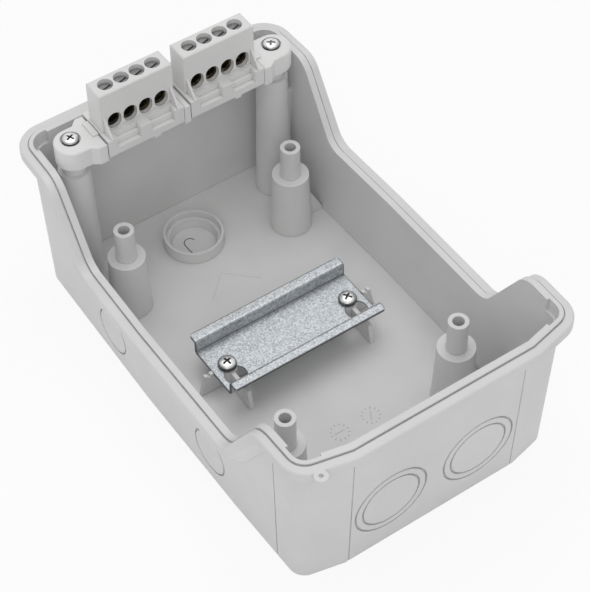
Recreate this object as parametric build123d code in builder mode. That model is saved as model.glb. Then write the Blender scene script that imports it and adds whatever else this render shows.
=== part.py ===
from build123d import *
import os
from math import cos, radians, tan

os.makedirs("parts", exist_ok=True)

# Modular distribution box base, in millimetres. The origin is the middle of the underside,
# X runs across the box, +Y points to the terminal end and +Z points up.

# Plan of the case at the underside
case_length = 197.0
case_width = 122.3
near_slant_width = 20.15
near_corner_setback = 4.2
near_side_taper = 1.0
far_side_taper = 2.1
near_taper_start = 52.0
far_taper_start = 13.0
near_corner_radius = 7.0
far_corner_radius = 8.5

# Walls and floor, with the lean of the walls in degrees
wall = 2.5
floor_thickness = 2.5
side_lean = 1.0
end_lean = 2.1

# Side profile of the rim: high at both ends, low along the middle
rim_high = 78.0
rim_low = 43.5
rim_low_length = 105.4
rim_slope = 59.0
rim_top_radius = 11.0
rim_bottom_radius = 9.0

# Section of the rim, measured outwards from the wall's outer face and down from the lip
lip_reach = 0.4
lip_rise = 0.7
groove_width = 0.6
groove_depth = 0.9
flange_edge = 4.2
flange_edge_radius = 1.1
cove_height = 4.4
cove_step = 0.3
corner_notch_depth = 6.0
corner_notch_radius = 7.5
corner_notch_wall = 1.3

# Seal eyelet beside the near left corner
eyelet_from_crease = 15.7
eyelet_reach = 1.6
eyelet_radius = 2.8
eyelet_hole_radius = 0.9
eyelet_thickness = 2.0

# Stepped posts for the cover screws
post_from_side = 19.85
post_from_end = 40.15
post_shift_y = -0.35
post_base_radius = 9.1
post_shoulder_radius = 8.0
post_shoulder_height = 33.3
post_pin_radius = 4.3
post_height = 49.4
post_hole_radius = 2.5
post_hole_depth = 14.0
post_wall = 2.4
gusset_height = 20.0
rib_thickness = 1.8
rib_root = 0.5

# Tall posts for the terminal bracket
bracket_screw_from_side = 12.65
bracket_screw_from_end = 16.6
tall_post_height = 77.0
tall_post_base_radius = 8.2
tall_post_radius = 6.7
tall_post_neck_height = 7.0
tall_post_neck_radius = 5.0
tall_post_web_height = 56.0

# Ring boss of the rear cable entry
boss_from_end = 25.4
boss_radius = 13.3
boss_height = 5.9
boss_rim = 1.1
boss_ledge_depth = 3.2
entry_radius = 10.6
entry_foot_radius = 9.8
entry_membrane = 0.8

# Knockouts in the walls
knockout_groove = 0.9
knockout_groove_depth = 0.9
side_knockout_radius = 10.25
side_knockout_z = 16.3
side_knockout_far_y = 39.2
side_knockout_near_y = -35.0
end_knockout_spacing = 41.6
end_knockout_z = 26.8
end_knockout_outer_radius = 16.6
end_knockout_inner_radius = 13.2
corner_line_from_end = 17.9
corner_line_x = 39.6
corner_line_width = 0.5
corner_line_depth = 0.3

# Rail and its cross-shaped supports
rail_length = 74.6
rail_width = 35.0
rail_channel_width = 27.0
rail_height = 7.5
rail_thickness = 1.0
rail_bend_radius = 0.6
rail_seat_height = 11.9
rail_screw_spacing = 60.5
keyhole_radius = 5.0
keyhole_offset = 6.5
keyhole_slot_clearance = 0.55
support_reach_x = 13.4
support_reach_y = 18.2
support_slope = 2.1
support_hub_radius = 4.2
support_nub_height = 1.3
support_nub_width = 1.4
rail_nub_clearance = 0.2

# Pan-head screws
screw_shank_radius = 1.75
screw_clearance = 0.05
screw_hole_tip = 1.0
screw_head_chamfer = 1.0
rail_screw_head_radius = 4.0
rail_screw_head_height = 2.8
rail_screw_length = 8.0
bracket_screw_head_radius = 3.6
bracket_screw_head_height = 2.1
bracket_screw_length = 20.0
recess_length = 3.6
recess_width = 0.8
recess_depth = 1.2

# Terminal bracket, with lengths along Y from the line of its screws
bracket_height = 9.5
ear_radius = 7.6
ear_centre_front = 1.3
ear_back = 9.0
ear_front = 11.0
ear_tip_share = 0.33
ear_neck_share = 0.6
ear_bend_radius = 1.2
ear_screw_clearance = 0.25
ear_counterbore_clearance = 0.6
ear_counterbore_depth = 0.8
ear_pad_width = 2.6
ear_pad_length = 8.7
ear_pad_height = 0.6
ear_edge = 0.5
beam_back = 6.1
beam_front = 7.9
beam_height = 6.6
beam_wall = 2.0

# Terminal blocks, with lengths along Y from the same line and heights from the top of the beam
poles = 4
block_pitch = 7.29
block_gap = 3.52
block_wall = 2.34
block_front = 5.4
block_back = 4.7
foot_ledge = 0.95
foot_front = 11.2
foot_back = 9.3
foot_skirt = 4.9
foot_rise = 3.7
foot_clearance = 0.3
fin_inset = 1.32
fin_height = 7.7
fin_thickness = 0.9
window_gap = 5.0
window_end = 4.37
window_sill_drop = 5.2
window_ledge_drop = 2.7
window_sill_depth = 2.0
window_depth = 3.6
entry_width = 6.2
entry_height = 7.8
wire_entry_height = 7.7
driver_hole_radius = 3.2
block_edge = 0.5
nib_width = 3.0
nib_height = 1.2
nib_offset = 4.9

# Connector bars and clamp screws
bar_depth = 5.6
bar_height = 14.8
bar_clearance = 0.2
wire_bore_radius = 2.6
clamp_travel = 3.5
clamp_travel_gap = 0.5
clamp_tip_gap = 0.4
clamp_thread_radius = 1.8
thread_clearance = 0.05
clamp_head_clearance = 0.3
clamp_head_height = 2.4
clamp_head_sink = 2.2
clamp_slot_width = 0.9
clamp_slot_depth = 1.1
clamp_slot_turn = 15.0

# Places that follow from the sizes
half_length = case_length / 2
half_width = case_width / 2
model_reach = case_length + case_width
near_flat_x = half_width - near_slant_width
near_slant = near_corner_setback / (near_slant_width - near_side_taper)
near_taper = near_side_taper / (half_length - near_taper_start)
far_taper = far_side_taper / (half_length - far_taper_start)
flange_reach = cove_height + cove_step
flange_depth = lip_rise + flange_edge + cove_height
line_height = rim_high - flange_depth
cut_top = rim_high + wall
cut_start = wall / 10
steep = cos(radians(rim_slope)) / 2
eyelet_x = -near_flat_x - eyelet_from_crease
post_x = half_width - post_from_side
post_y = half_length - post_from_end
post_core_height = post_shoulder_height - post_wall
boss_y = half_length - boss_from_end
boss_top = floor_thickness + boss_height
rail_screw_x = rail_screw_spacing / 2
rail_top = rail_seat_height + rail_thickness
bracket_screw_x = half_width - bracket_screw_from_side
bracket_screw_y = half_length - bracket_screw_from_end
bracket_top = tall_post_height + bracket_height
ear_seat = bracket_top - ear_counterbore_depth
hole_radius = screw_shank_radius + screw_clearance
rail_hole_depth = rail_screw_length - rail_thickness + screw_hole_tip
bracket_hole_depth = bracket_screw_length - (ear_seat - tall_post_height) + screw_hole_tip
tall_core_height = tall_post_height - bracket_hole_depth - post_wall
block_width = poles * block_pitch + 2 * block_wall
foot_width = block_width + 2 * foot_ledge
block_x = (foot_width + block_gap) / 2
tongue_x = block_x + foot_width / 2 + foot_clearance
ear_reach = bracket_screw_x - tongue_x
link_width = block_gap - 2 * foot_clearance
beam_front_y = bracket_screw_y - beam_front
beam_back_y = bracket_screw_y + beam_back
beam_y = (beam_front_y + beam_back_y) / 2
beam_top = tall_post_height + beam_height
block_front_y = bracket_screw_y - block_front
block_back_y = bracket_screw_y + block_back
block_y = (block_front_y + block_back_y) / 2
foot_front_y = bracket_screw_y - foot_front
foot_back_y = bracket_screw_y + foot_back
foot_y = (foot_front_y + foot_back_y) / 2
foot_bottom = beam_top - foot_skirt
foot_top = beam_top + foot_rise
window_width = (foot_width - window_gap) / 2 - window_end
window_offset = (window_gap + window_width) / 2
wire_entry_z = beam_top + wire_entry_height
bar_length = poles * block_pitch
bar_top = beam_top + bar_height
clamp_tip = wire_entry_z + wire_bore_radius + clamp_tip_gap
clamp_head_seat = bar_top + clamp_travel_gap + clamp_travel
clamp_head_radius = driver_hole_radius - clamp_head_clearance
block_top = clamp_head_seat + clamp_head_height + clamp_head_sink
sides = (("left", -1), ("right", 1))
ends = (-1, 1)
standing = (Align.CENTER, Align.CENTER, Align.MIN)
hanging = (Align.CENTER, Align.CENTER, Align.MAX)


def side_slope(y):
    """Taper of a long wall at a place along it, positive where it narrows toward the far end."""
    if y > far_taper_start:
        return far_taper
    return -near_taper if y < -near_taper_start else 0


def side_face_x(y, z):
    """Distance from the middle to a long wall's outer face, at a place along the wall."""
    start = far_taper_start if y > 0 else -near_taper_start
    return half_width + z * tan(radians(side_lean)) - (y - start) * side_slope(y)


def end_face_y(z):
    """Distance from the middle to an end wall's outer face, at a height."""
    return half_length + z * tan(radians(end_lean))


def wall_plane(point, outward, lean):
    """Plane on the outer face of a leaning wall, from the wall's outward direction in plan."""
    out = Vector(*outward, -tan(radians(lean))).normalized()
    return Plane(origin=point, x_dir=Vector(0, 0, 1).cross(out), z_dir=out)


def side_plane(side, y, z):
    """Plane on the outer face of a long wall; side is 1 on the right and -1 on the left."""
    return wall_plane((side * side_face_x(y, z), y, z), (side, side_slope(y)), side_lean)


def near_plane(x, z):
    """Plane on the outer face of the near end wall."""
    return wall_plane((x, -end_face_y(z), z), (0, -1), end_lean)


def case_block(grow, bottom, upright=False):
    """The case's outline as a solid block, from a height to above the rim.

    Its sides lean as the walls do, or stand upright where the walls meet the rim.
    """
    end_z, side_z = (rim_high, (rim_high + rim_low) / 2) if upright else (0, 0)
    planes = [near_plane(0, end_z), wall_plane((0, end_face_y(end_z), end_z), (0, 1), end_lean)]
    for _, side in sides:
        planes += [side_plane(side, y, side_z) for y in (-half_length, 0, half_length)]
        crease = (side * near_flat_x, -end_face_y(end_z), end_z)
        planes.append(wall_plane(crease, (side * near_slant, -1), end_lean))
    with BuildPart() as block:
        with Locations((0, 0, bottom)):
            Box(model_reach, model_reach, cut_top - bottom, align=standing)
        for plane in planes:
            if upright:
                out = Vector(plane.z_dir.X, plane.z_dir.Y, 0)
                plane = Plane(plane.origin, plane.x_dir, out)
            split(bisect_by=plane.offset(grow), keep=Keep.BOTTOM)
        for corner, radius in ((-1, far_corner_radius), (1, near_corner_radius)):
            corners = edges().filter_by(Plane.XY, reverse=True).group_by(Axis.Y)
            fillet(corners[corner], radius + grow)
    return block.part


def above_rim(drop):
    """The space above the rim's side profile, with the profile lowered by a drop."""
    shift = drop * tan(radians(rim_slope / 2))
    low_y = rim_low_length / 2 + shift
    high_y = low_y + (rim_high - rim_low) / tan(radians(rim_slope))
    low_z = rim_low - drop
    high_z = rim_high - drop
    top = rim_high + 2 * wall
    with BuildSketch(Plane.YZ) as profile:
        with BuildLine():
            Polyline(
                (-model_reach, top),
                (-model_reach, high_z),
                (-high_y, high_z),
                (-low_y, low_z),
                (low_y, low_z),
                (high_y, high_z),
                (model_reach, high_z),
                (model_reach, top),
                close=True,
            )
        make_face()
        low_corners = profile.vertices().filter_by(lambda v: abs(v.X) < high_y).group_by(Axis.Y)[0]
        fillet(low_corners, rim_bottom_radius + drop)
        high_corners = profile.vertices().filter_by(lambda v: abs(abs(v.X) - high_y) < cut_start)
        fillet(high_corners, rim_top_radius - drop)
    return extrude(profile.sketch, amount=model_reach, both=True, mode=Mode.PRIVATE)


def rim_layer(grow, upper, lower, upright=False):
    """The case's outline between two lowered copies of the rim profile."""
    with BuildPart() as layer:
        add(case_block(grow, rim_low - lower - wall, upright))
        add(above_rim(upper), mode=Mode.SUBTRACT)
        add(above_rim(lower), mode=Mode.INTERSECT)
    return layer.part


def corner_notches():
    """Short stretches round the four corners where the lip is cut thinner from the inside."""
    near_x = side_face_x(-half_length, rim_high) - wall
    far_x = side_face_x(half_length, rim_high) - wall
    near_y = end_face_y(rim_high) - near_corner_setback - wall
    far_y = end_face_y(rim_high) - wall
    with BuildPart() as notches:
        for side in (-1, 1):
            with Locations((side * near_x, -near_y, cut_top), (side * far_x, far_y, cut_top)):
                Cylinder(
                    corner_notch_radius,
                    corner_notch_depth + cut_top - rim_high,
                    align=hanging,
                )
        add(case_block(-corner_notch_wall, floor_thickness), mode=Mode.INTERSECT)
    return notches.part


def groove_ring(plane, radius):
    """Ring cut of a knockout's thin groove in a wall."""
    with BuildSketch(plane.offset(cut_start)) as ring:
        Circle(radius + knockout_groove / 2)
        Circle(radius - knockout_groove / 2, mode=Mode.SUBTRACT)
    return extrude(ring.sketch, amount=-knockout_groove_depth - cut_start, mode=Mode.PRIVATE)


def corner_line(plane, height):
    """Fine upright line cut in a wall beside a corner."""
    with BuildSketch(plane.offset(cut_start)) as line:
        Rectangle(corner_line_width, height, align=(Align.CENTER, Align.MIN))
    return extrude(line.sketch, amount=-corner_line_depth - cut_start, mode=Mode.PRIVATE)


def tapered_plate(plane, centre, reach):
    """Plate that stands on the floor and narrows up to the rail's seat."""
    top_reach = reach - support_slope
    with BuildSketch(plane) as plate:
        with BuildLine():
            Polyline(
                (centre - reach, floor_thickness),
                (centre + reach, floor_thickness),
                (centre + top_reach, rail_seat_height),
                (centre - top_reach, rail_seat_height),
                close=True,
            )
        make_face()
    return extrude(plate.sketch, amount=rib_thickness / 2, both=True, mode=Mode.PRIVATE)


def post_gusset(side, y):
    """Triangular gusset from a stepped post to the foot of the long wall."""
    foot = side_face_x(y, floor_thickness) - wall + rib_root
    with BuildSketch(Plane.XZ.offset(-y)) as gusset:
        with BuildLine():
            Polyline(
                (side * post_x, floor_thickness),
                (side * foot, floor_thickness),
                (side * (post_x + post_shoulder_radius), gusset_height),
                (side * post_x, gusset_height),
                close=True,
            )
        make_face()
    return extrude(gusset.sketch, amount=rib_thickness / 2, both=True, mode=Mode.PRIVATE)


def bore(radius, top, depth, places):
    """Straight holes of one radius, down from a height."""
    with BuildPart() as holes:
        with Locations(*[(x, y, top) for x, y in places]):
            Cylinder(radius, depth, align=hanging)
    return holes.part


post_places = [
    (side * post_x, post_shift_y + end * post_y) for _, side in sides for end in ends
]
tall_post_places = [(side * bracket_screw_x, bracket_screw_y) for _, side in sides]

# Base shell: one moulding with floor, walls, rim, posts, supports and boss
with BuildPart() as base_shell:
    # Outer flange, with a rounded top edge and a sloping underside that runs into the wall
    add(rim_layer(flange_reach, lip_rise, flange_depth, upright=True))
    around = faces().filter_by(lambda f: abs(f.normal_at().Z) < steep)
    under = faces().filter_by(lambda f: f.normal_at().Z < -steep)
    chamfer(under.edges() & around.edges(), cove_height)
    around = faces().filter_by(lambda f: abs(f.normal_at().Z) < steep)
    over = faces().filter_by(lambda f: f.normal_at().Z > steep)
    fillet(over.edges() & around.edges(), flange_edge_radius)

    # Channel between flange and lip, then the lip, the walls and the space inside
    channel_depth = lip_rise + groove_depth
    add(rim_layer(lip_reach + groove_width, -wall, channel_depth), mode=Mode.SUBTRACT)
    add(rim_layer(lip_reach, 0, channel_depth + groove_depth))
    with BuildPart(mode=Mode.PRIVATE) as walls:
        add(case_block(0, 0))
        add(above_rim(0), mode=Mode.SUBTRACT)
    add(walls.part)
    add(case_block(-wall, floor_thickness), mode=Mode.SUBTRACT)
    add(corner_notches(), mode=Mode.SUBTRACT)

    # Stepped posts and tall posts, with gussets and webs to the long walls
    with Locations(*[(x, y, 0) for x, y in post_places]):
        Cone(post_base_radius, post_shoulder_radius, post_shoulder_height, align=standing)
        Cylinder(post_pin_radius, post_height, align=standing)
    with Locations(*[(x, y, 0) for x, y in tall_post_places]):
        shoulder_height = tall_post_height - tall_post_neck_height
        Cone(tall_post_base_radius, tall_post_radius, shoulder_height, align=standing)
        Cylinder(tall_post_neck_radius, tall_post_height, align=standing)
    for _, side in sides:
        for end in ends:
            add(post_gusset(side, post_shift_y + end * post_y))
        web_end = side_face_x(bracket_screw_y, tall_post_web_height) - wall + rib_root
        with Locations((side * (bracket_screw_x + web_end) / 2, bracket_screw_y, 0)):
            Box(web_end - bracket_screw_x, rib_thickness, tall_post_web_height, align=standing)

    # Screw holes from above and moulding cores from below
    add(bore(post_hole_radius, post_height, post_hole_depth, post_places), mode=Mode.SUBTRACT)
    add(bore(hole_radius, tall_post_height, bracket_hole_depth, tall_post_places), mode=Mode.SUBTRACT)
    post_core = post_shoulder_radius - post_wall
    tall_core = tall_post_radius - post_wall
    add(bore(post_core, post_core_height, post_core_height, post_places), mode=Mode.SUBTRACT)
    add(bore(tall_core, tall_core_height, tall_core_height, tall_post_places), mode=Mode.SUBTRACT)

    # Ring boss of the rear cable entry, closed by a thin membrane
    with Locations((0, boss_y, 0)):
        Cylinder(boss_radius, boss_top, align=standing)
    with Locations((0, boss_y, boss_top - boss_ledge_depth)):
        Cylinder(boss_radius - boss_rim, boss_ledge_depth, align=standing, mode=Mode.SUBTRACT)
    with Locations((0, boss_y, entry_membrane)):
        Cone(
            entry_foot_radius,
            entry_radius,
            boss_top - boss_ledge_depth - entry_membrane,
            align=standing,
            mode=Mode.SUBTRACT,
        )

    # Cross-shaped rail supports, each with a hub, a pilot hole and two nubs past the rail's end
    inner_nub_x = rail_length / 2 + rail_nub_clearance + support_nub_width / 2
    outer_nub_x = rail_screw_x + support_reach_x - support_slope - support_nub_width / 2
    for _, side in sides:
        add(tapered_plate(Plane.XZ, side * rail_screw_x, support_reach_x))
        add(tapered_plate(Plane.YZ.offset(side * rail_screw_x), 0, support_reach_y))
        with Locations((side * rail_screw_x, 0, 0)):
            Cylinder(support_hub_radius, rail_seat_height, align=standing)
        with Locations((side * inner_nub_x, 0, rib_thickness), (side * outer_nub_x, 0, rib_thickness)):
            nub_top = rail_seat_height + support_nub_height - rib_thickness
            Box(support_nub_width, rib_thickness, nub_top, align=standing)
    rail_screw_places = [(side * rail_screw_x, 0) for _, side in sides]
    add(bore(hole_radius, rail_seat_height, rail_hole_depth, rail_screw_places), mode=Mode.SUBTRACT)

    # Knockout rings and fine upright lines in the walls
    for _, side in sides:
        for y in (side_knockout_near_y, side_knockout_far_y):
            plane = side_plane(side, y, side_knockout_z)
            add(groove_ring(plane, side_knockout_radius), mode=Mode.SUBTRACT)
        for radius in (end_knockout_inner_radius, end_knockout_outer_radius):
            plane = near_plane(side * end_knockout_spacing / 2, end_knockout_z)
            add(groove_ring(plane, radius), mode=Mode.SUBTRACT)
        line_y = corner_line_from_end - half_length
        for plane in (side_plane(side, line_y, -wall), near_plane(side * corner_line_x, -wall)):
            add(corner_line(plane, line_height + wall), mode=Mode.SUBTRACT)

    # Seal eyelet on the near left stretch of the flange
    eyelet_y = eyelet_from_crease * near_slant - end_face_y(rim_high) - flange_reach - eyelet_reach
    with Locations((eyelet_x, eyelet_y, rim_high - lip_rise)):
        Cylinder(eyelet_radius, eyelet_thickness, align=hanging)
        Cylinder(eyelet_hole_radius, eyelet_thickness, align=hanging, mode=Mode.SUBTRACT)
base_shell.part.label = "base_shell"
export_step(base_shell.part, "parts/base_shell.step")


# DIN rail: top-hat section with a keyhole at each end
with BuildPart() as din_rail:
    with BuildSketch(Plane.YZ.offset(-rail_length / 2)) as hat:
        with Locations((0, rail_seat_height)):
            Rectangle(rail_channel_width, rail_height, align=(Align.CENTER, Align.MIN))
        with Locations((0, rail_seat_height + rail_height)):
            Rectangle(rail_width, rail_thickness, align=(Align.CENTER, Align.MAX))
        with Locations((0, rail_top)):
            inner_width = rail_channel_width - 2 * rail_thickness
            Rectangle(inner_width, rail_height, align=(Align.CENTER, Align.MIN), mode=Mode.SUBTRACT)
        web_reach = rail_width / 2 - rail_thickness
        rows = hat.vertices().group_by(Axis.Y)
        fillet([v for v in rows[1] + rows[2] if abs(v.X) < web_reach], rail_bend_radius)
        rows = hat.vertices().group_by(Axis.Y)
        outer_bend = rail_bend_radius + rail_thickness
        fillet([v for v in rows[0] + rows[-1] if abs(v.X) < web_reach], outer_bend)
    extrude(amount=rail_length)
    with BuildSketch(Plane.XY.offset(rail_seat_height)):
        for _, side in sides:
            with Locations((side * rail_screw_x, -keyhole_offset)):
                Circle(keyhole_radius)
            with Locations((side * rail_screw_x, -keyhole_offset / 2)):
                slot_width = 2 * (screw_shank_radius + keyhole_slot_clearance)
                SlotCenterToCenter(keyhole_offset, slot_width, rotation=90)
    extrude(amount=rail_thickness, mode=Mode.SUBTRACT)
din_rail.part.label = "din_rail"
export_step(din_rail.part, "parts/din_rail.step")


def pan_screw(place, length, head_radius, head_height):
    """Pan-head screw with a cross recess; place is the middle of the head's underside."""
    x, y, seat = place
    with BuildPart() as screw:
        with Locations((x, y, seat)):
            Cylinder(head_radius, head_height, align=standing)
        chamfer(faces().sort_by(Axis.Z)[-1].edges(), screw_head_chamfer)
        with Locations((x, y, seat)):
            Cylinder(screw_shank_radius, length, align=hanging)
        with Locations((x, y, seat + head_height - recess_depth)):
            Box(recess_length, recess_width, recess_depth, align=standing, mode=Mode.SUBTRACT)
            Box(recess_width, recess_length, recess_depth, align=standing, mode=Mode.SUBTRACT)
    return screw.part


# Screws that hold the rail and the bracket
for name, side in sides:
    with BuildPart() as rail_screw:
        place = (side * rail_screw_x, 0, rail_top)
        add(pan_screw(place, rail_screw_length, rail_screw_head_radius, rail_screw_head_height))
    rail_screw.part.label = f"rail_screw_{name}"
    export_step(rail_screw.part, f"parts/rail_screw_{name}.step")

    with BuildPart() as bracket_screw:
        place = (side * bracket_screw_x, bracket_screw_y, ear_seat)
        add(pan_screw(place, bracket_screw_length, bracket_screw_head_radius, bracket_screw_head_height))
    bracket_screw.part.label = f"bracket_screw_{name}"
    export_step(bracket_screw.part, f"parts/bracket_screw_{name}.step")


# Terminal bracket: two ears and a centre link joined by a beam that is hollow from below
with BuildPart() as terminal_bracket:
    ear_y = bracket_screw_y - ear_centre_front
    ear_tip_x = tongue_x + ear_tip_share * ear_reach
    ear_neck_x = tongue_x + ear_neck_share * ear_reach
    with BuildSketch(Plane.XY.offset(tall_post_height)) as outline:
        with BuildLine():
            Polyline(
                (tongue_x, bracket_screw_y - ear_front),
                (ear_tip_x, bracket_screw_y - ear_front),
                (ear_neck_x, ear_y - ear_radius),
                (bracket_screw_x, ear_y - ear_radius),
                (bracket_screw_x, ear_y + ear_radius),
                (ear_neck_x, ear_y + ear_radius),
                (ear_tip_x, bracket_screw_y + ear_back),
                (tongue_x, bracket_screw_y + ear_back),
                close=True,
            )
        make_face()
        with Locations((bracket_screw_x, ear_y)):
            Circle(ear_radius)
        bends = outline.vertices().filter_by(
            lambda v: tongue_x + cut_start < v.X < bracket_screw_x - cut_start
        )
        fillet(bends, ear_bend_radius)
        mirror(about=Plane.YZ)
        with Locations((0, bracket_screw_y - ear_front)):
            Rectangle(link_width, ear_front + beam_back, align=(Align.CENTER, Align.MIN))
    extrude(amount=bracket_height)
    chamfer(faces().filter_by(Plane.XY).group_by(Axis.Z)[-1].edges(), ear_edge)
    with Locations((0, beam_y, tall_post_height)):
        Box(2 * ear_tip_x, beam_back_y - beam_front_y, beam_height, align=standing)
    with Locations(*[(side * block_x, beam_y, tall_post_height) for _, side in sides]):
        pocket_length = foot_width - 2 * beam_wall
        pocket_width = beam_back_y - beam_front_y - 2 * beam_wall
        pocket_depth = beam_height - beam_wall
        Box(pocket_length, pocket_width, pocket_depth, align=standing, mode=Mode.SUBTRACT)
    for _, side in sides:
        with Locations((side * (tongue_x + ear_pad_width / 2), bracket_screw_y, ear_seat)):
            pad_depth = ear_counterbore_depth + ear_pad_height
            Box(ear_pad_width, ear_pad_length, pad_depth, align=standing)
        with Locations((side * bracket_screw_x, bracket_screw_y, bracket_top)):
            CounterBoreHole(
                screw_shank_radius + ear_screw_clearance,
                bracket_screw_head_radius + ear_counterbore_clearance,
                ear_counterbore_depth,
            )
terminal_bracket.part.label = "terminal_bracket"
export_step(terminal_bracket.part, "parts/terminal_bracket.step")


# Terminal blocks: a housing on the bracket's beam, a connector bar inside it and four clamp screws
for name, side in sides:
    centre = side * block_x
    pole_x = [centre + (pole - (poles - 1) / 2) * block_pitch for pole in range(poles)]
    pole_places = [(x, block_y) for x in pole_x]

    with BuildPart() as terminal_housing:
        with Locations((centre, block_y, beam_top)):
            Box(block_width, block_back_y - block_front_y, block_top - beam_top, align=standing)
        chamfer(faces().sort_by(Axis.Z)[-1].edges(), block_edge)
        with Locations((centre, foot_y, foot_bottom)):
            Box(foot_width, foot_back_y - foot_front_y, foot_top - foot_bottom, align=standing)
        nib_place = (centre + nib_offset, foot_front_y + window_sill_depth / 2, foot_bottom)
        with Locations(nib_place):
            Box(nib_width, window_sill_depth, nib_height, align=hanging)
        # Channel that straddles the beam, and the space for the connector bar
        with Locations((centre, beam_y, foot_bottom)):
            channel_width = beam_back_y - beam_front_y + 2 * foot_clearance
            Box(foot_width, channel_width, foot_skirt, align=standing, mode=Mode.SUBTRACT)
        with Locations((centre, block_y, beam_top)):
            space_length = bar_length + 2 * bar_clearance
            space_depth = bar_depth + 2 * bar_clearance
            Box(space_length, space_depth, bar_height, align=standing, mode=Mode.SUBTRACT)
        # Fins beside the entries and windows in the front of the foot
        for end in ends:
            fin_x = centre + end * (block_width / 2 - fin_inset)
            with BuildSketch(Plane.YZ.offset(fin_x)):
                with BuildLine():
                    Polyline(
                        (foot_front_y, foot_top),
                        (block_front_y, foot_top + fin_height),
                        (block_front_y, foot_top),
                        close=True,
                    )
                make_face()
            extrude(amount=fin_thickness / 2, both=True)
            with Locations((centre + end * window_offset, foot_front_y, foot_top)):
                sill = (Align.CENTER, Align.MIN, Align.MAX)
                Box(window_width, window_sill_depth, window_sill_drop, align=sill, mode=Mode.SUBTRACT)
                Box(window_width, window_depth, window_ledge_drop, align=sill, mode=Mode.SUBTRACT)
        # Wire entries in front and driver holes above
        with BuildSketch(Plane.XZ.offset(-block_front_y)):
            with Locations(*[(x, wire_entry_z) for x in pole_x]):
                SlotOverall(entry_height, entry_width, rotation=90)
        extrude(amount=-(block_y - block_front_y), mode=Mode.SUBTRACT)
        add(bore(driver_hole_radius, block_top, block_top - bar_top, pole_places), mode=Mode.SUBTRACT)
    terminal_housing.part.label = f"terminal_housing_{name}"
    export_step(terminal_housing.part, f"parts/terminal_housing_{name}.step")

    with BuildPart() as clamp_bar:
        with Locations((centre, block_y, beam_top)):
            Box(bar_length, bar_depth, bar_height, align=standing)
        with BuildSketch(Plane.XZ.offset(-block_y)):
            with Locations(*[(x, wire_entry_z) for x in pole_x]):
                Circle(wire_bore_radius)
        extrude(amount=bar_depth / 2, both=True, mode=Mode.SUBTRACT)
        add(bore(clamp_thread_radius, bar_top, bar_top - wire_entry_z, pole_places), mode=Mode.SUBTRACT)
    clamp_bar.part.label = f"clamp_bar_{name}"
    export_step(clamp_bar.part, f"parts/clamp_bar_{name}.step")

    for pole, x in enumerate(pole_x, start=1):
        with BuildPart() as clamp_screw:
            with Locations((x, block_y, clamp_head_seat)):
                shank_length = clamp_head_seat - clamp_tip
                Cylinder(clamp_thread_radius - thread_clearance, shank_length, align=hanging)
                Cylinder(clamp_head_radius, clamp_head_height, align=standing)
            head_top = clamp_head_seat + clamp_head_height
            with Locations(Location((x, block_y, head_top), (0, 0, clamp_slot_turn))):
                slot = (2 * clamp_head_radius, clamp_slot_width, clamp_slot_depth)
                Box(*slot, align=hanging, mode=Mode.SUBTRACT)
        clamp_screw.part.label = f"clamp_screw_{name}_{pole}"
        export_step(clamp_screw.part, f"parts/clamp_screw_{name}_{pole}.step")
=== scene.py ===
from math import cos, pi, radians, sin

import bmesh
import bpy
from mathutils import Matrix, Vector


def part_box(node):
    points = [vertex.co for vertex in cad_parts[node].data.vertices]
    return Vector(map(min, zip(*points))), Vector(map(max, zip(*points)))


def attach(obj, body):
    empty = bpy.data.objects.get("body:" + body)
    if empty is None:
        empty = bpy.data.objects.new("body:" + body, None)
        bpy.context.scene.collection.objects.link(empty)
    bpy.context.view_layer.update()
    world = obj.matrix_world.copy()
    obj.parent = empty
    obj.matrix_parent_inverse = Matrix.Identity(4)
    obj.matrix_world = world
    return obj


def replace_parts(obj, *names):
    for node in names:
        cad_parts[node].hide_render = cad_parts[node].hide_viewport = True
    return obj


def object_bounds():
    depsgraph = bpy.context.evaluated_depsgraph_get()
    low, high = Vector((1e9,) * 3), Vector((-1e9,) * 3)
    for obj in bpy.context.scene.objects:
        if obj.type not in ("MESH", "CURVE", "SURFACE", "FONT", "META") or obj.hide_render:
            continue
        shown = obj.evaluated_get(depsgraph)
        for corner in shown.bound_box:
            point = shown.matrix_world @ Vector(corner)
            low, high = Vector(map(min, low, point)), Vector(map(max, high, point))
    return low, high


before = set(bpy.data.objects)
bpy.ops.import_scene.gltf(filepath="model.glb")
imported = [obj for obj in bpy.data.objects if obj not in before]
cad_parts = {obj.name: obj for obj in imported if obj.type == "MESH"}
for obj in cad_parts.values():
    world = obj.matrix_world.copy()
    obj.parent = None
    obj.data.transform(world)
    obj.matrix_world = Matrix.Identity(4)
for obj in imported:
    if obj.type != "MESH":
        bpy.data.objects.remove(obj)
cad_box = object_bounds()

MM = 0.001
CASE = "case"
IMAGE_WIDTH, IMAGE_HEIGHT = 590, 592

# Sizes and places of the solids, in millimetres, that the finishing pieces share
FLOOR_TOP = 2.5
MEMBRANE_TOP = 0.8
RAIL_WEB_TOP = 12.9
RAIL_FLANGE_TOP = 19.4
RAIL_HALF_LENGTH = 37.3
RAIL_HALF_WIDTH = 17.5
CHANNEL_HALF_WIDTH = 12.5
SHANK_RADIUS = 1.75
BLOCK_FRONT = 76.5
BLOCK_MIDDLE = 19.63
ENTRY_HEIGHT = 91.3

# Radius and height of the pan heads, and the share of the height that their upright rim takes
RAIL_SCREW_HEAD = (4.0, 2.8)
BRACKET_SCREW_HEAD = (3.6, 2.1)
RIM_SHARE = 0.36

# Shaded mouth of the wire entries, behind the front of the blocks and round the middle of the entries
MOUTH_START = 0.04
MOUTH_END = 0.42
MOUTH_HALF_HEIGHT = 4.2
MOUTH_HALF_WIDTH = 14.5

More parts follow.
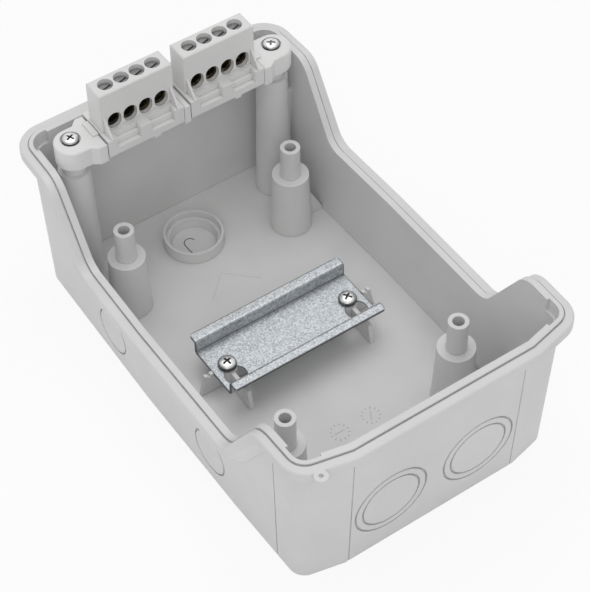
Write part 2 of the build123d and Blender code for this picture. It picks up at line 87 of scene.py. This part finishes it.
# Painted shade in the case's creases: weaker from the low groove of the rim upward, and weaker still
# at the line by the right near corner
CREASE_PAINTED_SHADE = 0.45
GROOVE_PAINTED_SHADE = 0.15
GROOVE_START = 40.5
GROOVE_FULL = 42.0
CORNER_LINE_X = 38.5
CORNER_LINE_Y = -98.2

# Marks on the floor, darker with painted shade, and the painted shadow of the membrane's slit:
# a dial has its middle and the angle of its pointer
DATE_DIALS = ((-7.8, -48.1, -5.0), (7.5, -48.4, 62.0))
TICK_REACH = (3.4, 4.3)
POINTER_REACH = (-2.2, 2.2)
HAIRLINE = [(12.4, 38.2), (-0.5, 50.7), (-11.7, 39.9)]
SLIT_SHANK = [(-3.5, 67.9), (-3.9, 71.5)]
SLIT_MIDDLE = (-1.3, 74.5)
SLIT_RADIUS = 2.55

# Points of the CAD meshes that lie closer than this are one point
MERGE_REACH = 0.002 * MM


# Shader maths

class Wire:
    """An output socket whose values can be used in Python expressions."""

    def __init__(self, paint, socket):
        self.paint = paint
        self.socket = socket

    def maths(self, operation, first, second=None):
        values = {0: first} if second is None else {0: first, 1: second}
        return self.paint.node("ShaderNodeMath", {"operation": operation}, values)

    def __add__(self, other):
        return self.maths("ADD", self, other)

    def __sub__(self, other):
        return self.maths("SUBTRACT", self, other)

    def __rsub__(self, other):
        return self.maths("SUBTRACT", other, self)

    def __mul__(self, other):
        return self.maths("MULTIPLY", self, other)

    def __rmul__(self, other):
        return self.maths("MULTIPLY", other, self)

    def __abs__(self):
        return self.maths("ABSOLUTE", self)

    def above(self, limit):
        return self.maths("GREATER_THAN", self, limit)

    def below(self, limit):
        return self.maths("LESS_THAN", self, limit)


class Paint:
    """One material and its nodes."""

    def __init__(self, name):
        self.material = bpy.data.materials.new(name)
        self.material.use_nodes = True
        self.tree = self.material.node_tree
        self.shader = self.tree.nodes["Principled BSDF"]
        self.place = self.node("ShaderNodeTexCoord", {}, {}, "Object")

    def node(self, kind, settings, values, output=0):
        """Adds a node: its settings first, then the values or links of its sockets."""
        made = self.tree.nodes.new(kind)
        for name, value in settings.items():
            if name == "stops":
                self.set_stops(made, value)
            else:
                setattr(made, name, value)
        for name, value in values.items():
            self.feed(made.inputs[name], value)
        return Wire(self, made.outputs[output])

    def set_stops(self, ramp, stops):
        elements = ramp.color_ramp.elements
        while len(elements) < len(stops):
            elements.new(1.0)
        for element, (position, colour) in zip(elements, stops):
            element.position = position
            element.color = colour

    def feed(self, socket, value):
        if isinstance(value, Wire):
            self.tree.links.new(value.socket, socket)
        else:
            socket.default_value = value

    def surface(self, **values):
        """Sets sockets of the main shader; a space in a socket's name is written as _."""
        for name, value in values.items():
            self.feed(self.shader.inputs[name.replace("_", " ")], value)

    def along(self, axis):
        """One Object coordinate, in millimetres."""
        return self.node("ShaderNodeSeparateXYZ", {}, {"Vector": self.place}, axis) * 1000.0

    def carried(self, name):
        """A value that the mesh carries from point to point."""
        return self.node("ShaderNodeAttribute", {"attribute_name": name}, {}, "Fac")

    def noise(self, scale, detail, roughness, stretch=None):
        place = self.place
        if stretch:
            place = self.node("ShaderNodeMapping", {}, {"Vector": place, "Scale": stretch})
        values = {"Vector": place, "Scale": scale, "Detail": detail, "Roughness": roughness}
        return self.node("ShaderNodeTexNoise", {}, values)

    def ramp(self, value, *stops):
        return self.node("ShaderNodeValToRGB", {"stops": stops}, {"Fac": value})

    def levels(self, value, low, high, to_low, to_high):
        """Carries a value from one range to another and holds it inside that one."""
        values = {"Value": value, "From Min": low, "From Max": high, "To Min": to_low, "To Max": to_high}
        return self.node("ShaderNodeMapRange", {"clamp": True}, values)

    def blend(self, factor, first, second):
        settings = {"data_type": "RGBA"}
        return self.node("ShaderNodeMix", settings, {0: factor, 6: first, 7: second}, 2)

    def bump(self, height, distance, strength, normal):
        values = {"Height": height, "Distance": distance, "Strength": strength, "Normal": normal}
        return self.node("ShaderNodeBump", {}, values)

    def seen_directly(self):
        """1 for the camera and for mirror-like and clear surfaces that show what is behind."""
        paths = [self.node("ShaderNodeLightPath", {}, {}, name)
                 for name in ("Is Camera Ray", "Is Glossy Ray", "Is Transmission Ray")]
        return paths[0] + paths[1] + paths[2]

    def finish_with(self, shader):
        self.tree.links.new(shader.socket, self.tree.nodes["Material Output"].inputs["Surface"])

    def soft_edges(self, radius):
        return self.node("ShaderNodeBevel", {"samples": 6}, {"Radius": radius})

    def turn_from_face(self, rounded):
        """0 on an even face, rising over a rounded edge."""
        face = self.node("ShaderNodeNewGeometry", {}, {}, "True Normal")
        settings = {"operation": "DOT_PRODUCT"}
        return 1 - self.node("ShaderNodeVectorMath", settings, {0: rounded, 1: face}, "Value")

    def openness(self, reach):
        """1 in the open, falling into corners and grooves."""
        return self.node("ShaderNodeAmbientOcclusion", {"samples": 4}, {"Distance": reach}, "AO")

    def entry_shade(self):
        """Shade of the wire entries' mouths, just behind the front edge of the terminals; 0 elsewhere."""
        depth = self.along("Y") - BLOCK_FRONT
        behind_edge = depth.above(MOUTH_START) * depth.below(MOUTH_END)
        in_height = abs(self.along("Z") - ENTRY_HEIGHT).below(MOUTH_HALF_HEIGHT)
        in_width = abs(abs(self.along("X")) - BLOCK_MIDDLE).below(MOUTH_HALF_WIDTH)
        return 0.8 * behind_edge * in_height * in_width

    def rim_painted_shade(self):
        """Painted shade in the case's creases, weaker from the rim's low groove upward and at one corner
        line.
        """
        corner_line = self.along("X").above(CORNER_LINE_X) * self.along("Y").below(CORNER_LINE_Y)
        painted_shade = self.levels(self.along("Z"), GROOVE_START, GROOVE_FULL, CREASE_PAINTED_SHADE, GROOVE_PAINTED_SHADE)
        return painted_shade * (1 - 0.8 * corner_line)


def grey(value, warm=0.0):
    """A grey whose red rises and blue falls with warm."""
    return (value * (1 + warm), value, value * (1 - warm), 1.0)


# Materials

def moulded_plastic(name, tone, gloss, warm, edge=0.25 * MM, entries=False, rim=False):
    """Injection-moulded thermoplastic: fine eroded texture, flow clouds, painted highlights on edges, painted
    shade in creases.
    """
    paint = Paint(name)
    clouds = paint.noise(28.0, 3.0, 0.55)
    grain = paint.noise(1900.0, 2.0, 0.6)
    scuffs = paint.noise(160.0, 4.0, 0.7, stretch=(1.0, 0.35, 1.0))
    rubbed = paint.levels(scuffs, 0.56, 0.72, 0.0, 1.0)
    cloudy = paint.levels(clouds, 0.35, 0.65, 0.0, 1.0)
    body = paint.blend(cloudy, grey(tone * 0.955, warm), grey(tone * 1.02, warm))
    speck = paint.levels(grain, 0.3, 0.7, 0.0, 0.10)
    colour = paint.blend(speck, body, grey(tone * 0.90, warm))
    rounded = paint.soft_edges(edge)
    # Painted shade: darker in creases and grooves, following ambient occlusion
    crease = paint.levels(paint.openness(0.9 * MM), 0.45, 0.9, 1.0, 0.0)
    # Painted highlight: lighter along rounded convex edges, but not in creases
    painted_edge_highlight = paint.levels(paint.turn_from_face(rounded), 0.03, 0.2, 0.0, 0.75) * (1 - crease)
    colour = paint.blend(painted_edge_highlight, colour, grey(min(tone * 1.2, 0.95), warm))
    painted_shade = paint.rim_painted_shade() if rim else CREASE_PAINTED_SHADE
    colour = paint.blend(crease * painted_shade, colour, grey(tone * 0.5, warm))
    if entries:
        colour = paint.blend(paint.entry_shade(), colour, grey(tone * 0.3, warm))
    rough = paint.levels(grain + 0.4 * scuffs, 0.4, 1.0, gloss - 0.05, gloss + 0.07)
    paint.surface(Base_Color=colour, Roughness=rough - 0.04 * rubbed, Specular_IOR_Level=0.42)
    texture = paint.bump(grain, 0.012 * MM, 0.35, rounded)
    paint.surface(Normal=paint.bump(clouds, 0.25 * MM, 0.12, texture))
    return paint.material


def zinc_strip():
    """Zinc-plated rolled strip: fine crystals and pits, with dark sheared ends and lips, and painted shade at
    the bends.
    """
    paint = Paint("zinc_plated_strip")
    values = {"Vector": paint.place, "Scale": 1700.0}
    cells = paint.node("ShaderNodeTexVoronoi", {"feature": "F1"}, values, "Color")
    crystal = paint.node("ShaderNodeSeparateColor", {}, {"Color": cells}, "Red")
    pits = paint.noise(2300.0, 3.0, 0.7)
    broad = paint.noise(45.0, 3.0, 0.6)
    tone = paint.levels(0.9 * crystal + 0.7 * pits + 0.35 * broad, 0.45, 1.35, 0.0, 1.0)
    zinc = paint.blend(tone, (0.29, 0.31, 0.325, 1), (0.64, 0.665, 0.69, 1))
    specks = paint.levels(pits, 0.62, 0.69, 0.0, 0.6)
    plated = paint.blend(specks, zinc, (0.10, 0.105, 0.11, 1))

    # Darker: a band along the sheared ends and the lips; painted shade at the two bends of each flange
    def dark_edge_band(distance, limit):
        return paint.levels(distance, limit - 0.5, limit - 0.15, 0.0, 1.0)

    across, height = abs(paint.along("Y")), paint.along("Z")
    sheared = dark_edge_band(abs(paint.along("X")), RAIL_HALF_LENGTH)
    lips = dark_edge_band(across, RAIL_HALF_WIDTH)
    to_inner = abs(across - CHANNEL_HALF_WIDTH) + abs(height - RAIL_WEB_TOP)
    to_outer = abs(across - CHANNEL_HALF_WIDTH - 0.2) + abs(height - (RAIL_FLANGE_TOP - 0.2))
    inner_bend_shade = paint.levels(to_inner, 0.3, 1.2, 1.0, 0.0)
    outer_bend_shade = paint.levels(to_outer, 0.3, 0.8, 0.7, 0.0)
    dark_edges_and_bend_shade = sheared + lips + 0.8 * inner_bend_shade + outer_bend_shade
    colour = paint.blend(paint.levels(dark_edges_and_bend_shade, 0.0, 1.0, 0.0, 0.85), plated, (0.07, 0.075, 0.08, 1))
    paint.surface(Base_Color=colour, Metallic=0.72)
    paint.surface(Roughness=paint.levels(crystal + broad, 0.4, 1.6, 0.36, 0.56))
    rounded = paint.soft_edges(0.15 * MM)
    paint.surface(Normal=paint.bump(crystal + 1.2 * pits, 0.02 * MM, 0.45, rounded))
    return paint.material


def pan_screw_plating():
    """Bright zinc plating, with a painted highlight on the dome and painted shade in the recess, on the rim
    and in the thread.
    """
    paint = Paint("bright_zinc_screw")
    marks = paint.noise(2200.0, 2.0, 0.5, stretch=(1.0, 1.0, 0.2))
    stain = paint.noise(520.0, 3.0, 0.6)
    lift = paint.carried("lift")
    # Painted highlight and shade by height on the head: dark rim, recess and thread, bright dome
    painted_greys = ((0.0, 0.26), (0.12, 0.12), (0.36, 0.06), (0.55, 0.20), (0.78, 0.66), (1.0, 0.85))
    painted_dome_light_and_shade = paint.ramp(lift, *((height, grey(shade)) for height, shade in painted_greys))
    colour = paint.blend(paint.levels(stain, 0.4, 0.7, 0.0, 0.45), painted_dome_light_and_shade, grey(0.25, 0.01))
    paint.surface(Base_Color=colour, Metallic=0.9)
    paint.surface(Roughness=paint.levels(stain + marks, 0.6, 1.4, 0.22, 0.38))
    paint.surface(Normal=paint.bump(marks, 0.01 * MM, 0.3, paint.soft_edges(0.08 * MM)))
    return paint.material


def clamp_screw_plating():
    """Dull grey plating of the slotted clamp screws, with turning marks."""
    paint = Paint("clamp_screw_zinc")
    marks = paint.noise(2200.0, 2.0, 0.5, stretch=(1.0, 1.0, 0.2))
    stain = paint.noise(420.0, 3.0, 0.6)
    colour = paint.blend(paint.levels(stain, 0.35, 0.7, 0.0, 1.0), grey(0.30, -0.01), grey(0.21, 0.01))
    paint.surface(Base_Color=colour, Metallic=0.6)
    paint.surface(Roughness=paint.levels(stain + marks, 0.6, 1.4, 0.42, 0.58))
    paint.surface(Normal=paint.bump(marks, 0.01 * MM, 0.3, paint.soft_edges(0.12 * MM)))
    return paint.material


def drawn_brass():
    """Drawn brass bar, dull and painted dark brown for the shade it lies in, with lengthwise draw lines and a
    few painted bright glints.
    """
    paint = Paint("drawn_brass")
    lines = paint.noise(900.0, 3.0, 0.6, stretch=(0.04, 1.0, 1.0))
    glint_pattern = paint.noise(330.0, 4.0, 0.65)
    painted_glints = paint.levels(glint_pattern, 0.50, 0.66, 0.0, 1.0)
    # Painted shade and glints: a dark brown base with a few bright patches
    colour = paint.blend(painted_glints, (0.045, 0.038, 0.024, 1), (0.30, 0.25, 0.13, 1))
    paint.surface(Base_Color=colour, Metallic=0.85, Roughness=paint.levels(lines, 0.3, 0.7, 0.30, 0.46))
    paint.surface(Normal=paint.bump(lines, 0.01 * MM, 0.4, paint.soft_edges(0.15 * MM)))
    return paint.material


def slit_shadow():
    """Painted shadow: the dark inside of the fine slit in the cable entry's membrane."""
    paint = Paint("slit_shadow")
    colour = paint.blend(paint.noise(600.0, 2.0, 0.5), grey(0.05), grey(0.12))
    paint.surface(Base_Color=colour, Roughness=0.8, Specular_IOR_Level=0.1)
    return paint.material


def studio_floor():
    """White paper sweep: plain, lifted toward white for the camera and keeping a soft shadow."""
    paint = Paint("paper_floor")
    colour = paint.blend(paint.noise(700.0, 2.0, 0.5), grey(0.90), grey(0.93))
    paint.surface(Base_Color=colour, Roughness=0.85, Specular_IOR_Level=0.15)
    glow = paint.node("ShaderNodeEmission", {}, {"Color": grey(1.0), "Strength": 1.0})
    lifted = paint.seen_directly() * 0.87
    values = {"Fac": lifted, 1: Wire(paint, paint.shader.outputs[0]), 2: glow}
    paint.finish_with(paint.node("ShaderNodeMixShader", {}, values))
    return paint.material


case_plastic = moulded_plastic("case_plastic", 0.72, 0.38, 0.002, rim=True)
# The marks are darker than the case: painted shade standing in for the shading of their fine ridges
mark_plastic_painted_shade = moulded_plastic("mark_plastic_painted_shade", 0.60, 0.38, 0.002, edge=0.05 * MM)
bracket_plastic = moulded_plastic("bracket_plastic", 0.78, 0.36, 0.004, edge=0.3 * MM)
terminal_plastic = moulded_plastic("terminal_plastic", 0.76, 0.34, 0.006, entries=True)
rail_steel = zinc_strip()
screw_steel = pan_screw_plating()
clamp_steel = clamp_screw_plating()
brass = drawn_brass()


# Pieces

def merged_copy(node):
    """A bmesh of a CAD node with its faces joined along their edges."""
    form = bmesh.new()
    form.from_mesh(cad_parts[node].data)
    bmesh.ops.remove_doubles(form, verts=form.verts, dist=MERGE_REACH)
    return form


def finish_mesh(name, form, material, body=CASE, sharp=28.0):
    """Makes a piece from a bmesh that is built in place, smooth but for its sharp edges."""
    for face in form.faces:
        face.smooth = True
    for edge in form.edges:
        edge.smooth = len(edge.link_faces) == 2 and edge.calc_face_angle(pi) < radians(sharp)
    mesh = bpy.data.meshes.new(name)
    form.to_mesh(mesh)
    form.free()
    piece = bpy.data.objects.new(name, mesh)
    bpy.context.scene.collection.objects.link(piece)
    mesh.materials.append(material)
    weighted = piece.modifiers.new("even_shading", "WEIGHTED_NORMAL")
    weighted.keep_sharp = True
    weighted.weight = 100
    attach(piece, body)
    return piece


def dressed(node, name, material, body=CASE):
    """A merged copy of a CAD node with smooth curved faces, which stands for the node."""
    form = merged_copy(node)
    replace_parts(finish_mesh(name, form, material, body), node)


def hat_rail():
    """A merged copy of the CAD rail with the free corners of its two flanges rounded."""
    form = merged_copy("din_rail")
    bmesh.ops.dissolve_limit(form, angle_limit=radians(1.0), verts=form.verts, edges=form.edges)
    near_end = (RAIL_HALF_LENGTH - 0.1) * MM
    near_lip = (RAIL_HALF_WIDTH - 0.1) * MM
    corners = [edge for edge in form.edges
               if all(abs(vert.co.x) > near_end and abs(vert.co.y) > near_lip for vert in edge.verts)
               and abs(edge.verts[0].co.z - edge.verts[1].co.z) > 0.5 * MM]
    bmesh.ops.bevel(form, geom=corners, offset=1.5 * MM, segments=8, profile=0.5,
                    affect="EDGES", material=-1)
    bmesh.ops.triangulate(form, faces=form.faces)
    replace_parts(finish_mesh("hat_rail", form, rail_steel), "din_rail")


def screw_outline(head_radius, head_height, length):
    """Half section of a pan-head screw from its tip to the top of its dome, seat at zero."""
    pitch, neck, tip = 1.0, 1.2, 1.2
    root_radius = 0.8 * SHANK_RADIUS
    points = [(0.0, -length), (0.55 * SHANK_RADIUS, -length), (root_radius, 0.9 - length)]
    for turn in range(int((length - neck - tip) / pitch), -1, -1):
        root = -neck - turn * pitch
        points += [(root_radius, root - 0.62), (SHANK_RADIUS, root - 0.3), (SHANK_RADIUS, root - 0.2)]
    points += [(root_radius, -neck), (SHANK_RADIUS, 0.3 - neck), (SHANK_RADIUS, 0.0)]
    rim = RIM_SHARE * head_height
    points += [(head_radius - 0.2, 0.0), (head_radius, 0.15), (head_radius, rim)]
    dome_steps = 12
    for step in range(1, dome_steps):
        swing = radians(90 / dome_steps * step)
        points.append((head_radius * cos(swing) ** 0.8, rim + (head_height - rim) * sin(swing)))
    return points + [(0.0, head_height)]


def with_borders(faces):
    """Faces with their edges and corners, in the form that bmesh operators take."""
    edges = {edge for face in faces for edge in face.edges}
    corners = {vert for face in faces for vert in face.verts}
    return [*faces, *edges, *corners]


def cross_recess(form, head_radius, head_height):
    """Cuts a dome along a cross and sinks the cross with a taper; gives the points of its bottom."""
    arm, half_width, depth, taper = 0.54 * head_radius, 0.12 * head_radius, 0.55 * head_height, 0.62
    rim = RIM_SHARE * head_height
    for axis in (0, 1):
        for offset in (-arm, -half_width, half_width, arm):
            place, normal = [0, 0, 0], [0, 0, 0]
            place[axis], normal[axis] = offset, 1
            dome = [face for face in form.faces if face.calc_center_median().z > rim]
            bmesh.ops.bisect_plane(form, geom=with_borders(dome), dist=0.0001,
                                   plane_co=place, plane_no=normal)
    sunk = []
    for face in form.faces:
        middle = face.calc_center_median()
        near, far = sorted((abs(middle.x), abs(middle.y)))
        if middle.z > rim and near < half_width and far < arm:
            sunk.append(face)
    grown = bmesh.ops.extrude_face_region(form, geom=with_borders(sunk))["geom"]
    bottom = [part for part in grown if isinstance(part, bmesh.types.BMVert)]
    for vert in bottom:
        vert.co = Vector((vert.co.x * taper, vert.co.y * taper, head_height - depth))
    return bottom


def pan_screw(node, name, head, turn):
    """A domed screw with a tapered cross recess, in the place of a CAD screw; built in millimetres."""
    head_radius, head_height = head
    low, high = (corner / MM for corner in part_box(node))
    seat = high.z - head_height
    form = bmesh.new()
    lift = form.verts.layers.float.new("lift")
    half_section = screw_outline(head_radius, head_height, seat - low.z)
    outline = [form.verts.new((radius, 0.0, height)) for radius, height in half_section]
    for first, second in zip(outline, outline[1:]):
        form.edges.new((first, second))
    bmesh.ops.spin(form, geom=form.verts[:] + form.edges[:], cent=(0, 0, 0), axis=(0, 0, 1), dvec=(0, 0, 0),
                   angle=2 * pi, steps=64, use_merge=True)
    bmesh.ops.remove_doubles(form, verts=form.verts, dist=0.0005)
    bmesh.ops.recalc_face_normals(form, faces=form.faces)
    bottom = cross_recess(form, head_radius, head_height)

    # The share of the head's height at each point, which the painted highlight and shade of the plating
    # follow
    for vert in form.verts:
        vert[lift] = max(vert.co.z / head_height, 0.1)
    for vert in bottom:
        vert[lift] = 0.0

    bmesh.ops.rotate(form, verts=form.verts, cent=(0, 0, 0), matrix=Matrix.Rotation(radians(turn), 3, "Z"))
    middle = (low + high) / 2
    bmesh.ops.translate(form, verts=form.verts, vec=(middle.x, middle.y, seat))
    bmesh.ops.scale(form, verts=form.verts, vec=(MM, MM, MM))
    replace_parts(finish_mesh(name, form, screw_steel, sharp=40.0), node)


def moulded_lines(name, lines, height, width, material):
    """Fine lines on a level face, each a flat bead half sunk in it; places in millimetres."""
    path = bpy.data.curves.new(name, "CURVE")
    path.dimensions = "3D"
    path.bevel_depth = width / 2
    path.bevel_resolution = 2
    path.use_fill_caps = True
    for line in lines:
        run = path.splines.new("POLY")
        run.points.add(len(line) - 1)
        for point, (x, y) in zip(run.points, line):
            point.co = (x, y, 0.0, 1.0)
    carrier = bpy.data.objects.new(name + "_path", path)
    bpy.context.scene.collection.objects.link(carrier)
    form = bmesh.new()
    form.from_mesh(bpy.data.meshes.new_from_object(carrier))
    bpy.data.objects.remove(carrier)
    flatness = 0.7
    bmesh.ops.scale(form, verts=form.verts, vec=(1.0, 1.0, flatness))
    bmesh.ops.translate(form, verts=form.verts, vec=(0.0, 0.0, height))
    bmesh.ops.scale(form, verts=form.verts, vec=(MM, MM, MM))
    finish_mesh(name, form, material, sharp=60.0)


def ray(x, y, angle, reaches):
    """Points at some reaches from a middle, in the direction of an angle in degrees."""
    swing = radians(angle)
    return [(x + reach * cos(swing), y + reach * sin(swing)) for reach in reaches]


def dial_lines(x, y, pointer):
    """Lines of a moulding-date dial: twelve ticks round a pointer."""
    ticks = [ray(x, y, 30 * hour, TICK_REACH) for hour in range(12)]
    return ticks + [ray(x, y, pointer, POINTER_REACH)]


def slit_line():
    """The hooked slit of the membrane: a short shank and an arc over its top."""
    start, end, steps = 170.0, 8.0, 12
    angles = [start + (end - start) * step / steps for step in range(steps + 1)]
    return SLIT_SHANK + [ray(*SLIT_MIDDLE, angle, (SLIT_RADIUS,))[0] for angle in angles]


dressed("base_shell", "case_moulding", case_plastic)
dressed("terminal_bracket", "bridge_moulding", bracket_plastic)
hat_rail()
for side, rail_turn, bracket_turn in (("left", 12.0, 24.0), ("right", 33.0, 52.0)):
    dressed(f"terminal_housing_{side}", f"terminal_body_{side}", terminal_plastic)
    dressed(f"clamp_bar_{side}", f"connector_bar_{side}", brass)
    pan_screw(f"rail_screw_{side}", f"rail_fixing_{side}", RAIL_SCREW_HEAD, rail_turn)
    pan_screw(f"bracket_screw_{side}", f"bridge_fixing_{side}", BRACKET_SCREW_HEAD, bracket_turn)
    for pole in range(1, 5):
        node = f"clamp_screw_{side}_{pole}"
        dressed(node, f"wire_clamp_{side}_{pole}", clamp_steel, body=node)

dials = [line for dial in DATE_DIALS for line in dial_lines(*dial)]
moulded_lines("date_dials", dials, FLOOR_TOP, 0.45, mark_plastic_painted_shade)
moulded_lines("floor_hairlines", [HAIRLINE], FLOOR_TOP, 0.25, mark_plastic_painted_shade)
# Painted shadow: a dark bead stands for the shaded inside of the membrane's slit
moulded_lines("membrane_slit", [slit_line()], MEMBRANE_TOP, 0.42, slit_shadow())


# Floor, light and camera, in metres

def stage_floor(reach, drop):
    """Level paper that reaches all round, a little under the object."""
    form = bmesh.new()
    bmesh.ops.create_grid(form, x_segments=1, y_segments=1, size=reach)
    mesh = bpy.data.meshes.new("paper_sweep")
    form.to_mesh(mesh)
    form.free()
    floor = bpy.data.objects.new("paper_sweep", mesh)
    bpy.context.scene.collection.objects.link(floor)
    floor.location = (0.0, 0.0, cad_box[0].z - drop)
    mesh.materials.append(studio_floor())


def world_light(strength):
    """Even soft light all round; the camera and mirror-like metal see it as white."""
    world = bpy.data.worlds.new("studio")
    bpy.context.scene.world = world
    world.use_nodes = True
    tree = world.node_tree
    background = tree.nodes["Background"]
    background.inputs["Color"].default_value = (1, 1, 1, 1)
    paths = tree.nodes.new("ShaderNodeLightPath")
    seen = paths.outputs["Is Camera Ray"]
    for name in ("Is Glossy Ray", "Is Transmission Ray"):
        both = tree.nodes.new("ShaderNodeMath")
        both.operation = "MAXIMUM"
        tree.links.new(seen, both.inputs[0])
        tree.links.new(paths.outputs[name], both.inputs[1])
        seen = both.outputs[0]
    level = tree.nodes.new("ShaderNodeMapRange")
    level.inputs["To Min"].default_value = strength
    level.inputs["To Max"].default_value = 1.0
    tree.links.new(seen, level.inputs["Value"])
    tree.links.new(level.outputs[0], background.inputs["Strength"])


def soft_box(name, centre, side, power):
    """A square lamp that faces the lower part of the object."""
    target = Vector((0, 0, 0.04))
    light = bpy.data.lights.new(name, "AREA")
    light.shape = "RECTANGLE"
    light.size = light.size_y = side
    light.energy = power
    lamp = bpy.data.objects.new(name, light)
    bpy.context.scene.collection.objects.link(lamp)
    lamp.location = centre
    lamp.rotation_mode = "QUATERNION"
    lamp.rotation_quaternion = (target - Vector(centre)).to_track_quat("-Z", "Y")


def photo_camera():
    """Camera at the photograph's view: heading, pitch and roll in degrees, place in metres."""
    heading, pitch, roll = radians(34.146), radians(49.745), radians(-0.649)
    place = (-0.2891, -0.4327, 0.6501)
    focal_pixels, middle_x, middle_y = 1982.9, 296.5, 296.4
    ahead = Vector((sin(heading) * cos(pitch), cos(heading) * cos(pitch), -sin(pitch)))
    right = ahead.cross(Vector((0, 0, 1))).normalized()
    up = right.cross(ahead)
    turned_right = cos(roll) * right + sin(roll) * up
    turned_up = cos(roll) * up - sin(roll) * right
    data = bpy.data.cameras.new("photo_view")
    camera = bpy.data.objects.new("photo_view", data)
    bpy.context.scene.collection.objects.link(camera)
    axes = Matrix((turned_right, turned_up, -ahead)).transposed().to_4x4()
    camera.matrix_world = Matrix.Translation(place) @ axes
    data.sensor_width = 36.0
    data.lens = focal_pixels * data.sensor_width / IMAGE_HEIGHT
    data.shift_x = (IMAGE_WIDTH / 2 - middle_x) / IMAGE_HEIGHT
    data.shift_y = (middle_y - IMAGE_HEIGHT / 2) / IMAGE_HEIGHT
    data.clip_start, data.clip_end = 0.01, 20.0
    bpy.context.scene.camera = camera


stage_floor(reach=3.0, drop=0.1 * MM)
world_light(0.54)
soft_box("top_light", centre=(0.15, 0.3, 1.45), side=1.1, power=6.1)
soft_box("front_light", centre=(-0.7, -1.0, 1.1), side=0.9, power=3.9)
photo_camera()
bpy.context.scene.view_settings.view_transform = "Standard"
